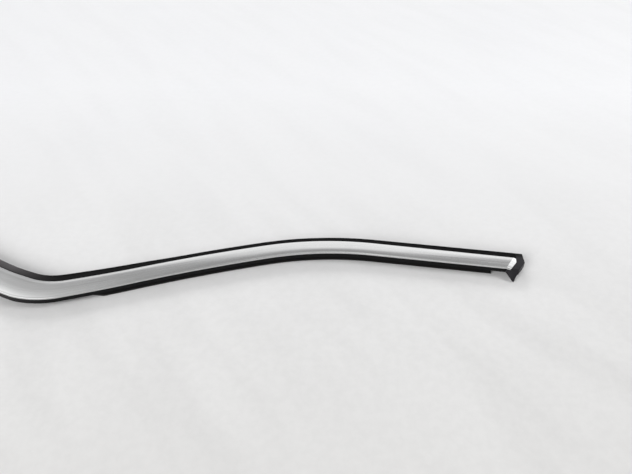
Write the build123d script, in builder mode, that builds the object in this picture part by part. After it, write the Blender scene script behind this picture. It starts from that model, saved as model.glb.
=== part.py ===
"""Outer window moulding of a rear side door, lying on its inboard side.

The moulding is a long S-curved strip. A satin bright cover is crimped over a black rubber
profile. The profile is a channel that clips over the door panel's flange: its outboard leg
carries the cover, a wiper lip reaches towards the glass and a short lip hangs over the
panel. A moulded cap closes each end, and the front one is a chevron with a hooked tail.

Millimetres. +X runs to the front end, +Y to the glass side and +Z away from the door.
The origin is at the middle of the bounding box, on the plane the moulding rests on.
"""

import os
from math import cos, radians, sin, tan

from build123d import *

# Spine of the strip in plan, from the front end to the rear
front_slope = 8.8  # degrees that the front run leans from the X axis
front_run_length = 160.6
arch_radius = 324.6
arch_angle = 21.7
belt_radius = 1698.0
belt_angle = 4.9
lead_radius = 1297.0
lead_angle = 3.4
kink_radius = 79.0
kink_angle = 35.3
sweep_radius = 284.0
sweep_angle = 5.6
rear_radius = 600.0
rear_angle = 13.2
run_out = 20.0  # extra stock beyond the front end, before it is trimmed

# Bright face
front_face_width = 18.2
arch_face_width = 20.0
belt_face_width = 21.8
lead_face_width = 24.0
kink_face_width = 29.4
rear_face_width = 28.4
crown_height = 15.2  # highest line of the face above the rest plane
near_shoulder_drop = 1.2  # crown down to the start of the panel side roll
far_shoulder_drop = 0.9
roll_size = 1.2
near_wall_height = 1.0  # straight side below the roll, before the crimp
far_wall_height = 1.1
sheet_gauge = 0.6
crimp_reach = 1.8
cover_clearance = 0.1

# Rubber profile
roof_height = 10.6  # underside of the outboard leg, which is the channel's roof
panel_lip_low = 6.6
rear_panel_lip_low = 5.4  # the lip hangs lower behind the kink
panel_lip_thickness = 1.5
panel_lip_setback = 0.2
back_wall_thickness = 2.4
back_wall_setback = 1.0
inboard_leg_thickness = 2.0
inboard_leg_setback = 1.2
inboard_leg_bevel = 1.6
lip_thickness = 1.6
lip_top_drop = 2.0  # crown down to the wiper lip's top
lip_groove = 2.4  # width of the groove between the bright edge and the lip
front_lip_reach = 9.3
arch_lip_reach = 7.2
belt_lip_reach = 7.3
lead_start_reach = 9.2
lead_lip_reach = 11.2
rear_lip_reach = 9.4
finger_reach = 3.4
finger_thickness = 0.9
finger_lean = 1.4
finger_pitch = 4.4
front_notch = 20.2  # the inboard leg stops this far behind the cover's front corner
inboard_leg_length = 437.3
inboard_leg_end_angle = 70.0  # degrees from square of the leg's rear end
inboard_leg_end_length = 50.0  # length of the slanting rear end, behind which there is no leg

# Mitre and folded end of the cover
fold_angle = 27.0  # degrees from square
mitre_angle = 30.0
mitre_back = 0.9  # the cover's front corner behind the spine's zero
fold_length = 5.1  # along the strip, at the panel side
fold_drop = 0.4  # fall of the folded end for each millimetre forward
fold_low_edge = 11.2  # the folded end's sides are cut off at this height
mitre_square = 6.6  # beyond this the end is cut square

# Front end cap
cap_gap = 0.25
cap_top = 12.8
cap_low = 5.0
cap_shelf_low = 6.8
cap_flange_low = 10.8
cap_apex_forward = 16.1
cap_apex_across = 13.2
cap_corner_forward = 14.3
cap_near_forward = 8.8
cap_proud = 0.2  # cap beyond the cover's panel side
tail_reach = 7.5
tail_tip_forward = 3.8
tail_tip_size = 1.4
tail_root_bevel = 2.6
tongue_length = 14.0
tongue_gap = 0.15
tongue_low = 3.0
tongue_across = 6.5
cap_edge_round = 0.3
shelf_lap = 1.0  # overlap of the cap's own blocks, so that they fuse

# Rear end cap
rear_cap_thickness = 2.5
rear_cap_gap = 0.1
rear_tongue_inset = 6.0
rear_tongue_thickness = 3.0

# Spacing of the sections that the strip is lofted through
section_spacing = 25.0
kink_section_spacing = 6.5

# Heights that follow from the sizes above
near_top = crown_height - near_shoulder_drop
near_side_top = near_top - roll_size
near_low = near_side_top - near_wall_height
far_top = crown_height - far_shoulder_drop
far_side_top = far_top - roll_size
far_low = far_side_top - far_wall_height
lip_top = crown_height - lip_top_drop
under_cover = sheet_gauge + cover_clearance
finger_low = roof_height - finger_reach
roll_mid = 1 - cos(radians(45))

# Spine, with its zero at the front mitre on the middle of the strip
rearward = Vector(-cos(radians(front_slope)), sin(radians(front_slope)), 0)
with BuildLine() as spine:
    front_run = Line(rearward * -run_out, rearward * front_run_length)
    arch = JernArc(front_run @ 1, front_run % 1, arch_radius, arch_angle)
    belt = JernArc(arch @ 1, arch % 1, belt_radius, belt_angle)
    lead = JernArc(belt @ 1, belt % 1, lead_radius, -lead_angle)
    kink = JernArc(lead @ 1, lead % 1, kink_radius, -kink_angle)
    sweep = JernArc(kink @ 1, kink % 1, sweep_radius, -sweep_angle)
    rear_run = JernArc(sweep @ 1, sweep % 1, rear_radius, -rear_angle)

runs = [front_run, arch, belt, lead, kink, sweep, rear_run]


def along(run, part):
    """Distance from the front mitre to a point of a run."""
    before = -run_out
    for other in runs:
        if other is run:
            return before + run.length * part
        before = before + other.length
    return before


def square_plane(run, part):
    """Plane square to the spine: X to the glass side, Y away from the door."""
    heading = run % part
    return Plane(run @ part, x_dir=(heading.Y, -heading.X, 0), z_dir=(-heading.X, -heading.Y, 0))


rear_end = along(rear_run, 1)
width_marks = [
    (0.0, front_face_width),
    (along(arch, 0.5), arch_face_width),
    (along(belt, 1), belt_face_width),
    (along(lead, 1), lead_face_width),
    (along(kink, 1), kink_face_width),
    (along(sweep, 1), rear_face_width),
    (rear_end, rear_face_width),
]
reach_marks = [
    (0.0, front_lip_reach),
    (along(arch, 0.5), arch_lip_reach),
    (along(belt, 0.7), belt_lip_reach),
    (along(belt, 1), lead_start_reach),
    (along(lead, 1), lead_lip_reach),
    (along(kink, 1), rear_lip_reach),
    (rear_end, rear_lip_reach),
]
low_marks = [
    (0.0, panel_lip_low),
    (along(lead, 1), panel_lip_low),
    (along(kink, 1), rear_panel_lip_low),
    (rear_end, rear_panel_lip_low),
]


def graded(marks, distance):
    """Value at a distance along the strip, read between marks."""
    value = marks[0][1]
    for (low, first), (high, second) in zip(marks, marks[1:]):
        if distance > low:
            value = first + (second - first) * min(1.0, (distance - low) / (high - low))
    return value


def plane_at(distance):
    """Square plane at a distance from the front mitre."""
    for run in runs:
        if along(run, 0) <= distance < along(run, 1):
            return square_plane(run, (distance - along(run, 0)) / run.length)
    return square_plane(rear_run, 1)


def stations():
    """Square planes along the strip, with the half width, lip reach and lip depth at each."""
    found = []
    for run in runs:
        spacing = kink_section_spacing if run is kink else section_spacing
        spans = max(2, round(run.length / spacing))
        first = 0 if run is front_run else 1
        for step in range(first, spans + 1):
            place = along(run, step / spans)
            half = graded(width_marks, place) / 2
            reach = graded(reach_marks, place)
            found.append((square_plane(run, step / spans), half, reach, graded(low_marks, place)))
    return found


def cover_section(plane, half):
    """Sheet section of the bright cover: crowned face, rolled edges and crimped hems."""
    near, far = -half, half
    gauge = sheet_gauge
    with BuildSketch(plane) as section:
        with BuildLine():
            Polyline((near + crimp_reach, near_low), (near, near_low), (near, near_side_top))
            ThreePointArc(
                (near, near_side_top),
                (near + roll_size * roll_mid, near_top - roll_size * roll_mid),
                (near + roll_size, near_top),
            )
            ThreePointArc((near + roll_size, near_top), (0, crown_height), (far - roll_size, far_top))
            ThreePointArc(
                (far - roll_size, far_top),
                (far - roll_size * roll_mid, far_top - roll_size * roll_mid),
                (far, far_side_top),
            )
            Polyline(
                (far, far_side_top),
                (far, far_low),
                (far - crimp_reach, far_low),
                (far - crimp_reach, far_low + gauge),
                (far - gauge, far_low + gauge),
                (far - gauge, far_side_top),
            )
            Line((far - gauge, far_side_top), (far - roll_size, far_top - gauge))
            ThreePointArc(
                (far - roll_size, far_top - gauge),
                (0, crown_height - gauge),
                (near + roll_size, near_top - gauge),
            )
            Polyline(
                (near + roll_size, near_top - gauge),
                (near + gauge, near_side_top),
                (near + gauge, near_low + gauge),
                (near + crimp_reach, near_low + gauge),
                (near + crimp_reach, near_low),
            )
        make_face()
    return section.sketch


def seal_section(plane, half, reach, lip_low):
    """Section of the rubber: cover tongue, wiper lip, back wall, fingers and panel lip."""
    near, far = -half, half
    hook = crimp_reach + cover_clearance
    wall_in = far - back_wall_setback - back_wall_thickness
    lip_in = near + panel_lip_setback + panel_lip_thickness
    finger = -finger_pitch
    second = finger + finger_pitch
    with BuildSketch(plane) as section:
        with BuildLine():
            Polyline(
                (near + roll_size, near_top - under_cover),
                ((near + roll_size) / 2, crown_height - under_cover - near_shoulder_drop / 4),
                (0, crown_height - under_cover),
                ((far - roll_size) / 2, crown_height - under_cover - far_shoulder_drop / 4),
                (far - roll_size, far_top - under_cover),
                (far - under_cover, far_side_top),
                (far - under_cover, far_low + under_cover),
                (far - hook, far_low + under_cover),
                (far - hook, far_low - cover_clearance),
                (far + 0.4, far_low - cover_clearance),
                (far + 0.8, lip_top - 0.6),
                (far + lip_groove, lip_top),
                (far + reach - 0.8, lip_top),
                (far + reach, lip_top - lip_thickness * 0.3),
                (far + reach - 0.2, lip_top - lip_thickness * 0.7),
                (far + 3.0, lip_top - lip_thickness),
                (far - back_wall_setback, roof_height),
                (far - back_wall_setback, -1.0),
                (wall_in, -1.0),
                (wall_in, roof_height),
                (second + finger_thickness + 0.3, roof_height),
                (second + finger_thickness + finger_lean, finger_low),
                (second + finger_lean, finger_low),
                (second, roof_height),
                (finger + finger_thickness + 0.3, roof_height),
                (finger + finger_thickness + finger_lean, finger_low),
                (finger + finger_lean, finger_low),
                (finger, roof_height),
                (lip_in, roof_height),
                (lip_in, lip_low + 0.6),
                (lip_in - 0.4, lip_low),
                (lip_in - 1.2, lip_low),
                (near + panel_lip_setback, lip_low + 0.4),
                (near + panel_lip_setback, near_low - cover_clearance),
                (near + hook, near_low - cover_clearance),
                (near + hook, near_low + under_cover),
                (near + under_cover, near_low + under_cover),
                (near + under_cover, near_side_top),
                (near + roll_size, near_top - under_cover),
            )
        make_face()
    return section.sketch


def leg_section(plane, half):
    """Section of the inboard leg, which lies flat under the channel."""
    wall = half - back_wall_setback - back_wall_thickness / 2
    edge = -half + inboard_leg_setback
    slope = inboard_leg_bevel / inboard_leg_thickness
    with BuildSketch(plane) as section:
        with BuildLine():
            Polyline(
                (wall, -1.0),
                (wall, inboard_leg_thickness),
                (edge, inboard_leg_thickness),
                (edge + inboard_leg_bevel + slope, -1.0),
                close=True,
            )
        make_face()
    return section.sketch


# Front end frame: X forward along the strip, Y to the glass side, zero at the cover's
# panel side corner of the mitre
front_half = front_face_width / 2
mitre_across = tan(radians(mitre_angle)) * front_half
forward = rearward * -1
glassward = Vector(-forward.Y, forward.X, 0)
corner_point = forward * -(mitre_across + mitre_back) - glassward * front_half
front_plan = Plane(corner_point, x_dir=forward, z_dir=(0, 0, 1))


def front_cut(forward_at_corner, angle):
    """Upright plane across the front end, leaning forward to the glass side."""
    start = front_plan.from_local_coords((forward_at_corner, 0, 0))
    normal = forward * cos(radians(angle)) - glassward * sin(radians(angle))
    return Plane(start, z_dir=(normal.X, normal.Y, 0))


def fold_at(across):
    """How far forward the fold is at a distance across."""
    return -fold_length + across * tan(radians(fold_angle))


def mitre_at(across):
    """How far forward the cap's edge beside the mitre is at a distance across."""
    return cap_gap / cos(radians(mitre_angle)) + across * tan(radians(mitre_angle))


fold_gap = cap_gap / cos(radians(fold_angle))
fold_plane = front_cut(-fold_length, fold_angle)
mitre_plane = front_cut(0, mitre_angle)
square_end = front_cut(mitre_square, 0)

# Bright cover: lofted sheet cut along the fold, with the folded end drawn out and down
with BuildPart() as cover_stock:
    loft(sections=[cover_section(plane, half) for plane, half, reach, lip_low in stations()])
    split(bisect_by=fold_plane, keep=Keep.BOTTOM)

fold_faces = cover_stock.faces().filter_by(Axis((0, 0, 0), fold_plane.z_dir))
fold_face = fold_faces.sort_by(Axis.X)[-1]
drawn = forward - Vector(0, 0, fold_drop)
with BuildPart() as folded_end:
    extrude(fold_face, amount=fold_length * 3, dir=drawn)
    split(bisect_by=mitre_plane, keep=Keep.BOTTOM)
    split(bisect_by=square_end, keep=Keep.BOTTOM)
    split(bisect_by=Plane((0, 0, fold_low_edge)), keep=Keep.TOP)

with BuildPart() as cover_whole:
    add(cover_stock.part)
    add(folded_end.part)

# Rubber profile: the lofted channel with its inboard leg, cut back under the folded end
leg_front = plane_at(front_notch + mitre_across + mitre_back)
leg_rear_square = plane_at(front_notch + mitre_across + mitre_back + inboard_leg_length)
leg_rear_turn = radians(inboard_leg_end_angle)
leg_rear = Plane(
    leg_rear_square.from_local_coords((-belt_face_width / 2 + inboard_leg_setback, 0, 0)),
    z_dir=leg_rear_square.z_dir * -cos(leg_rear_turn) - leg_rear_square.x_dir * sin(leg_rear_turn),
)
leg_end_distance = front_notch + mitre_across + mitre_back + inboard_leg_length + inboard_leg_end_length
lip_root = front_face_width + 0.4
with BuildPart() as leg_stock:
    loft(sections=[leg_section(plane, half) for plane, half, reach, lip_low in stations()])
    split(bisect_by=leg_front, keep=Keep.BOTTOM)
    split(bisect_by=leg_rear, keep=Keep.BOTTOM)
    split(bisect_by=plane_at(leg_end_distance), keep=Keep.TOP)

with BuildPart() as seal_whole:
    loft(sections=[seal_section(plane, half, reach, lip_low) for plane, half, reach, lip_low in stations()])
    split(bisect_by=square_end, keep=Keep.BOTTOM)
    add(leg_stock.part)
    split(bisect_by=Plane.XY, keep=Keep.TOP)
    with BuildSketch(front_plan):
        with BuildLine():
            Polyline(
                (fold_at(-crimp_reach) - fold_gap, -crimp_reach),
                (fold_at(lip_root) - fold_gap, lip_root),
                (run_out * 2, lip_root),
                (run_out * 2, -crimp_reach),
                close=True,
            )
        make_face()
    extrude(amount=crown_height * 2, mode=Mode.SUBTRACT)

# Front end cap
near_edge = -cap_proud
cover_in = front_face_width - cap_gap - 0.1
wall_outer = front_face_width - back_wall_setback
wall_inner = wall_outer - back_wall_thickness
lip_edge = front_face_width + front_lip_reach
square_at = mitre_square + cap_gap
bend_across = (square_at - mitre_at(0)) / tan(radians(mitre_angle))
apex_share = (front_face_width - cap_apex_across) / (lip_edge - cap_apex_across)
side_forward = cap_apex_forward + (cap_corner_forward - cap_apex_forward) * apex_share
tail_plane = Plane(
    front_plan.from_local_coords((0, near_edge + 0.3, 0)),
    x_dir=forward,
    z_dir=glassward * -1,
)
with BuildPart() as front_cap_whole:
    with BuildSketch(front_plan.offset(cap_low)):
        with BuildLine():
            Polyline(
                (mitre_at(near_edge), near_edge),
                (cap_near_forward, near_edge),
                (cap_apex_forward, cap_apex_across),
                (side_forward, front_face_width),
                (square_at, front_face_width),
                (square_at, bend_across),
                close=True,
            )
        make_face()
    extrude(amount=cap_top - cap_low)
    with BuildSketch(front_plan.offset(cap_flange_low)):
        with BuildLine():
            Polyline(
                (square_at, bend_across),
                (cap_apex_forward, cap_apex_across),
                (cap_corner_forward, lip_edge),
                (square_at, lip_edge),
                close=True,
            )
        make_face()
    extrude(amount=cap_top - cap_flange_low)
    with BuildSketch(front_plan.offset(cap_shelf_low)):
        with BuildLine():
            Polyline(
                (fold_at(near_edge) + fold_gap, near_edge),
                (mitre_at(near_edge) + shelf_lap, near_edge),
                (square_at + shelf_lap, bend_across),
                (square_at + shelf_lap, cover_in),
                (fold_at(cover_in) + fold_gap, cover_in),
                close=True,
            )
        make_face()
    extrude(amount=fold_low_edge - cap_gap - cap_shelf_low)
    with BuildSketch(front_plan):
        with BuildLine():
            Polyline(
                (fold_at(wall_inner) + fold_gap, wall_inner),
                (side_forward - shelf_lap, wall_inner),
                (side_forward - shelf_lap, wall_outer),
                (fold_at(wall_outer) + fold_gap, wall_outer),
                close=True,
            )
        make_face()
    extrude(amount=cap_shelf_low + shelf_lap)
    with BuildSketch(front_plan.offset(tongue_low)):
        with BuildLine():
            Polyline(
                (-tongue_length, tongue_across),
                (square_at, tongue_across),
                (square_at, wall_inner - tongue_gap),
                (-tongue_length, wall_inner - tongue_gap),
                close=True,
            )
        make_face()
    extrude(amount=finger_low - tongue_gap - tongue_low)
    with BuildSketch(tail_plane) as tail_root:
        with BuildLine():
            Polyline(
                (fold_at(near_edge) + fold_gap, cap_shelf_low),
                (fold_at(near_edge) + fold_gap + tail_root_bevel, fold_low_edge - cap_gap),
                (cap_near_forward, cap_top),
                (cap_near_forward - tail_root_bevel, cap_low),
                close=True,
            )
        make_face()
    with BuildSketch(tail_plane.offset(tail_reach + 0.3)) as tail_tip:
        with BuildLine():
            Polyline(
                (tail_tip_forward - tail_tip_size * 0.7, tail_tip_size * 0.6),
                (tail_tip_forward - tail_tip_size * 0.4, tail_tip_size * 1.3),
                (tail_tip_forward + tail_tip_size * 0.5, tail_tip_size * 1.2),
                (tail_tip_forward + tail_tip_size * 0.3, 0),
                close=True,
            )
        make_face()
    loft(sections=[tail_root.sketch, tail_tip.sketch], ruled=True)
    fillet(front_cap_whole.faces().sort_by(Axis.Z)[-1].edges(), cap_edge_round)

# Rear end cap, closing the section square
rear_plane = square_plane(rear_run, 1)
rear_half = rear_face_width / 2
rear_wall = rear_half - back_wall_setback
rear_wall_in = rear_wall - back_wall_thickness
rear_lip = rear_half + rear_lip_reach
rear_tongue_top = finger_low - tongue_gap
with BuildPart() as rear_cap_whole:
    with BuildSketch(rear_plane.offset(-rear_cap_thickness - rear_cap_gap)):
        with BuildLine():
            ThreePointArc(
                (-rear_half, near_side_top + 0.4),
                (0, crown_height),
                (rear_half, far_side_top + 0.4),
            )
            Polyline(
                (rear_half, far_side_top + 0.4),
                (rear_half + lip_groove, lip_top),
                (rear_lip, lip_top),
                (rear_lip, lip_top - lip_thickness * 0.7),
                (rear_wall, roof_height),
                (rear_wall, 0),
                (rear_wall_in, 0),
                (-rear_half, rear_panel_lip_low),
                (-rear_half, near_side_top + 0.4),
            )
        make_face()
    extrude(amount=rear_cap_thickness)
    with BuildSketch(rear_plane.offset(-rear_cap_thickness)):
        with BuildLine():
            Polyline(
                (-rear_half + rear_tongue_inset, rear_tongue_top - rear_tongue_thickness),
                (rear_wall_in - tongue_gap, rear_tongue_top - rear_tongue_thickness),
                (rear_wall_in - tongue_gap, rear_tongue_top),
                (-rear_half + rear_tongue_inset, rear_tongue_top),
                close=True,
            )
        make_face()
    extrude(amount=rear_cap_thickness + tongue_length)

# Every piece moves together, so that the whole is centred over the origin
pieces = (cover_whole, seal_whole, front_cap_whole, rear_cap_whole)
whole = Compound(children=[piece.part for piece in pieces]).bounding_box()
middle = Location((-whole.center().X, -whole.center().Y, 0))

with BuildPart() as bright_cover:
    add(cover_whole.part.moved(middle))
bright_cover.part.label = "bright_cover"
with BuildPart() as seal_profile:
    add(seal_whole.part.moved(middle))
seal_profile.part.label = "seal_profile"
with BuildPart() as front_end_cap:
    add(front_cap_whole.part.moved(middle))
front_end_cap.part.label = "front_end_cap"
with BuildPart() as rear_end_cap:
    add(rear_cap_whole.part.moved(middle))
rear_end_cap.part.label = "rear_end_cap"

os.makedirs("parts", exist_ok=True)
export_step(bright_cover.part, "parts/bright_cover.step")
export_step(seal_profile.part, "parts/seal_profile.step")
export_step(front_end_cap.part, "parts/front_end_cap.step")
export_step(rear_end_cap.part, "parts/rear_end_cap.step")

print("shift to the middle of the box", -whole.center().X, -whole.center().Y)
for named in (bright_cover, seal_profile, front_end_cap, rear_end_cap):
    box = named.part.bounding_box()
    print(named.part.label, len(named.part.solids()), round(named.part.volume), named.part.is_valid, box.min, box.max)
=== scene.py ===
# %% [markdown]
# # Window moulding of a rear side door
# The moulding lies on a pale cloth with its bright face up. It is one long curved strip: a satin
# metal cover crimped over a black rubber profile, with a moulded cap at each end.
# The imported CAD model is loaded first. It is the fixed frame: every piece made here goes exactly
# where the CAD says, in metres, and then stands for the CAD's plain one.

# %% Load the frame
import math

import bmesh
import bpy
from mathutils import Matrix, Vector


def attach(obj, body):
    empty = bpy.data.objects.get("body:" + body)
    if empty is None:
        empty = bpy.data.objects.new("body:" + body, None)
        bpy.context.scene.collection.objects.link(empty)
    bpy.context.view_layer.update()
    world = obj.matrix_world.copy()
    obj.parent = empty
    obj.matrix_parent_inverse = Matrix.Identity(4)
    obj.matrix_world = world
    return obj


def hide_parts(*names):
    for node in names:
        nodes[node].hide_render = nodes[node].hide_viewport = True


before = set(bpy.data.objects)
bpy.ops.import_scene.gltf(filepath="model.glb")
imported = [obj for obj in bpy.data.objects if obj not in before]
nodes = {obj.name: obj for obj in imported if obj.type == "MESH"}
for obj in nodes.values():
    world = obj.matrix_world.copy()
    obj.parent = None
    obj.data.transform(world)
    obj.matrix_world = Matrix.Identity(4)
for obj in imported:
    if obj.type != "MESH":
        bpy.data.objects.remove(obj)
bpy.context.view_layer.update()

# %% [markdown]
# ## The line that everything follows
# On the car the strip follows the lower edge of the window: straight at the front, a long arch,
# an almost straight belt, a gentle hollow, then a tight kink towards the rear corner. Such a line
# could be drawn by hand as a Bezier curve. Here it is a straight and six arcs, each starting in
# the direction in which the last one ended, so it has no bumps for a satin face to show up.

# %% The line as a straight and arcs
MM = 0.001
line_start = (341.873, -7.089)  # the line's zero in the frame, in millimetres
front_slope = 8.8  # degrees between the front run and the X axis
front_run = 160.6
# Radius and angle of each arc behind the straight. A minus radius turns the other way.
arcs = [
    (324.6, 21.7), (1698.0, 4.9), (-1297.0, 3.4), (-79.0, 35.3), (-284.0, 5.6), (-600.0, 13.2)
]

runs = [(front_run, 0.0)]
for radius, angle in arcs:
    runs.append((abs(radius) * math.radians(angle), 1 / radius))
run_ends = [sum(length for length, bend in runs[: i + 1]) for i in range(len(runs))]
spine_length = run_ends[-1]


def spine_point(distance):
    """Point of the line at a distance behind its zero, in millimetres."""
    x, y = line_start
    heading = math.radians(180 - front_slope)
    for length, bend in runs:
        step = min(distance, length)
        turn = bend * step
        if bend:
            x += (math.sin(heading + turn) - math.sin(heading)) / bend
            y -= (math.cos(heading + turn) - math.cos(heading)) / bend
        else:
            x += math.cos(heading) * step
            y += math.sin(heading) * step
        heading += turn
        distance -= step
        if distance <= 0:
            break
    return x, y


print("the line is", round(spine_length, 1), "mm long")

# %% [markdown]
# ## Sizes that change along the strip
# The bright face widens from 18 mm at the front to 29 mm at the kink. The wiper lip, which
# touches the glass, is widest near both ends, and the short lip over the panel hangs lower
# behind the kink. One width for all would be simpler, but the photograph shows the change.
# So each size is a handful of marks, with even grading between them.

# %% Marks along the strip
arch_middle = (run_ends[0] + run_ends[1]) / 2
belt_share = 0.7  # part of the belt after which the wiper lip widens
belt_part = run_ends[1] + (run_ends[2] - run_ends[1]) * belt_share
belt_end, lead_end, kink_end, sweep_end = run_ends[2:6]
face_widths = [
    (0, 18.2), (arch_middle, 20.0), (belt_end, 21.8), (lead_end, 24.0), (kink_end, 29.4),
    (sweep_end, 28.4),
]
lip_reaches = [
    (0, 9.3), (arch_middle, 7.2), (belt_part, 7.3), (belt_end, 9.2), (lead_end, 11.2),
    (kink_end, 9.4),
]
lip_depths = [(0, 6.6), (lead_end, 6.6), (kink_end, 5.4)]


def graded(marks, distance):
    """Value at a distance along the strip, read between marks."""
    value = marks[0][1]
    for (low, first), (high, second) in zip(marks, marks[1:]):
        if distance > low:
            value = first + (second - first) * min(1.0, (distance - low) / (high - low))
    return value


front_width = graded(face_widths, 0)
print("face", front_width, "mm wide in front and", graded(face_widths, spine_length), "mm behind")

# %% [markdown]
# ## The line as a mesh that knows the sizes
# A node tree can't call a Python function, but it can read attributes. So the line becomes a
# chain of points, and each point stores the three sizes that hold there. The chain runs out
# past both ends, because the mitre reaches in front of the line's zero.

# %% The line as a mesh
run_out = 20.0
spine_spacing = 2.0


def line_mesh(name, points):
    """A mesh of points joined by edges, one after the other."""
    mesh = bpy.data.meshes.new(name)
    mesh.from_pydata(points, [(i, i + 1) for i in range(len(points) - 1)], [])
    return mesh


def add_vectors(mesh, name, values):
    """Stores one vector for each point of a mesh."""
    layer = mesh.attributes.new(name, "FLOAT_VECTOR", "POINT")
    for item, value in zip(layer.data, values):
        item.vector = value


spine_marks = [-run_out]
while spine_marks[-1] < spine_length + run_out:
    spine_marks.append(spine_marks[-1] + spine_spacing)
spine_mesh = line_mesh("spine", [(*(v * MM for v in spine_point(d)), 0) for d in spine_marks])
sizes_there = []
for mark in spine_marks:
    sizes = (graded(face_widths, mark) / 2, graded(lip_reaches, mark), graded(lip_depths, mark))
    sizes_there.append([v * MM for v in sizes])
add_vectors(spine_mesh, "sizes", sizes_there)
spine = bpy.data.objects.new("spine", spine_mesh)
print("the line has", len(spine_marks), "points")

# %% [markdown]
# ## Sections
# The metal is roll-formed and the rubber is extruded, so both have one section all along.
# It could be drawn as a curve, but then it couldn't widen in one part only. Here it is a short
# list of corners, and each corner says what it hangs on: the half width of the bright face
# (minus for the panel side), the reach of the wiper lip, the height of the short lip, or
# nothing. Heights are above the cloth.

# %% Heights and thicknesses of the section
crown = 15.2
near_drop, far_drop = 1.2, 0.9  # fall of the face to its panel side and to its glass side
near_top, far_top = crown - near_drop, crown - far_drop
roll = 1.2
near_side, far_side = near_top - roll, far_top - roll
near_low, far_low = near_side - 1.0, far_side - 1.1
gauge = 0.6
under_cover = 0.7  # the sheet and the gap below it
crimp = 1.8
hook = 1.9
lip_top = crown - 2.0
lip_thick = 1.6
roof = 10.6  # of the channel
finger_low = 7.2
nominal = (10.0, 8.0, 6.6)  # half width, lip reach and lip height at which corners are rounded


def corner(hangs_on, shift, height, reach=0, depth=0, radius=0.0, flock=0.0):
    """One corner of a section. Shift and height are in millimetres."""
    weights = (hangs_on, reach, depth)
    return {"weights": weights, "shift": shift, "height": height, "radius": radius, "flock": flock}


def nominal_place(item):
    """Where a corner is in a section of nominal sizes."""
    half, reach, depth = nominal
    hangs_on, reach_share, depth_share = item["weights"]
    across = hangs_on * half + reach_share * reach + item["shift"]
    return Vector((across, item["height"] + depth_share * depth))


print("the lip's top is", lip_top, "mm above the cloth")

# %% [markdown]
# ## Crowned face and rounded corners
# The face falls a millimetre to each side, slowly in the middle and faster towards the rolls,
# and that puts light and dark bands on it. Real corners are never sharp either. A Bevel modifier
# could round every edge of the finished strip, but it is slow and goes wrong where the mitre
# cuts it. So corners are rounded in the section, before it is swept.

# %% Crown and rounding
crown_power = 2.6  # 2 is close to an arc, and more is flatter in the middle


def crown_points(drop, inset, steps):
    """The crowned face from the panel side to the glass side, as corners of a section."""
    found = []
    for i in range(steps + 1):
        share = -1 + 2 * i / steps
        end_drop = (near_drop if share < 0 else far_drop) * abs(share) ** crown_power
        found.append(corner(share, -share * inset, crown - drop - end_drop))
    return found


def room_beside(neighbour):
    """Share of a side that a rounding may use. A rounded neighbour needs its own."""
    return 0.48 if neighbour["radius"] else 0.97


def rounded(corners, finest=12):
    """Section with each corner that has a radius replaced by a small arc."""
    found = []
    count = len(corners)
    for i, item in enumerate(corners):
        if not item["radius"]:
            found.append(item)
            continue
        before, after = corners[i - 1], corners[(i + 1) % count]
        here = nominal_place(item)
        back = nominal_place(before) - here
        ahead = nominal_place(after) - here
        turn = math.pi - back.angle(ahead)
        room = min(back.length * room_beside(before), ahead.length * room_beside(after))
        reach = min(item["radius"] * math.tan(turn / 2), room)
        start, end = here + back.normalized() * reach, here + ahead.normalized() * reach
        steps = max(2, math.ceil(math.degrees(turn) / finest))
        for step in range(steps + 1):
            share = step / steps
            point = start.lerp(here, share).lerp(here.lerp(end, share), share)
            moved = dict(item)
            moved["shift"] = item["shift"] + point.x - here.x
            moved["height"] = item["height"] + point.y - here.y
            found.append(moved)
    return found


print("a face of", len(crown_points(0, roll, 16)), "crown points")

# %% [markdown]
# ## Section meshes carry their own instructions
# Each section becomes a ring of points. A point's position holds its shift and height, and
# attributes hold the rest: what it hangs on, where its row of the strip starts, folds and ends,
# and how far round the section it is. With these, one node tree can make every strip, also one
# whose front is cut on a slant.

# %% Section meshes
def section_mesh(name, corners, first_row, fold_row, last_row):
    """Mesh of a section. The three row rules give distances from a point's place across."""
    points, weights, ends, marks = [], [], [], []
    around = 0.0
    front_sizes = [front_width / 2, lip_reaches[0][1]]
    for i, item in enumerate(corners + corners[:1]):
        if i:
            around += (nominal_place(item) - nominal_place(corners[i - 1])).length
        across = sum(w * s for w, s in zip(item["weights"][:2], front_sizes)) + item["shift"]
        across += front_width / 2
        points.append((item["shift"] * MM, 0, item["height"] * MM))
        weights.append(item["weights"])
        ends.append([v * MM for v in (first_row(across), fold_row(across), last_row(across))])
        marks.append((around * MM, item["flock"], 0))
    mesh = line_mesh(name, points)
    add_vectors(mesh, "weights", weights)
    add_vectors(mesh, "ends", ends)
    add_vectors(mesh, "marks", marks)
    print(name, "has", len(corners), "points and is", round(around, 1), "mm round")
    return mesh


print("section meshes can be made")

# %% [markdown]
# ## Small helpers for node trees
# Node trees are quick to wire by mouse and long to write, so a few helpers keep the script
# readable. They serve Geometry Nodes and shaders alike.

# %% Helpers for node trees
def place_value(tree, socket, value):
    """Links a socket to another, or sets its own value."""
    if isinstance(value, bpy.types.NodeSocket):
        tree.links.new(value, socket)
    elif value is not None:
        socket.default_value = value


def add_node(tree, kind, settings=None, **inputs):
    """Adds a node, with its settings and its inputs by name."""
    node = tree.nodes.new(kind)
    for name, value in (settings or {}).items():
        setattr(node, name, value)
    for name, value in inputs.items():
        place_value(tree, node.inputs[name.replace("_", " ")], value)
    return node


def calc(tree, operation, *values, clamp=False):
    """A Math node on sockets or numbers."""
    node = add_node(tree, "ShaderNodeMath", {"operation": operation, "use_clamp": clamp})
    for socket, value in zip(node.inputs, values):
        place_value(tree, socket, value)
    return node.outputs[0]


def times(tree, value, share):
    """A value times another, or a share of it."""
    return calc(tree, "MULTIPLY", value, share)


def total(tree, first, *others):
    """The sum of several values."""
    for value in others:
        first = calc(tree, "ADD", first, value)
    return first


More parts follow.
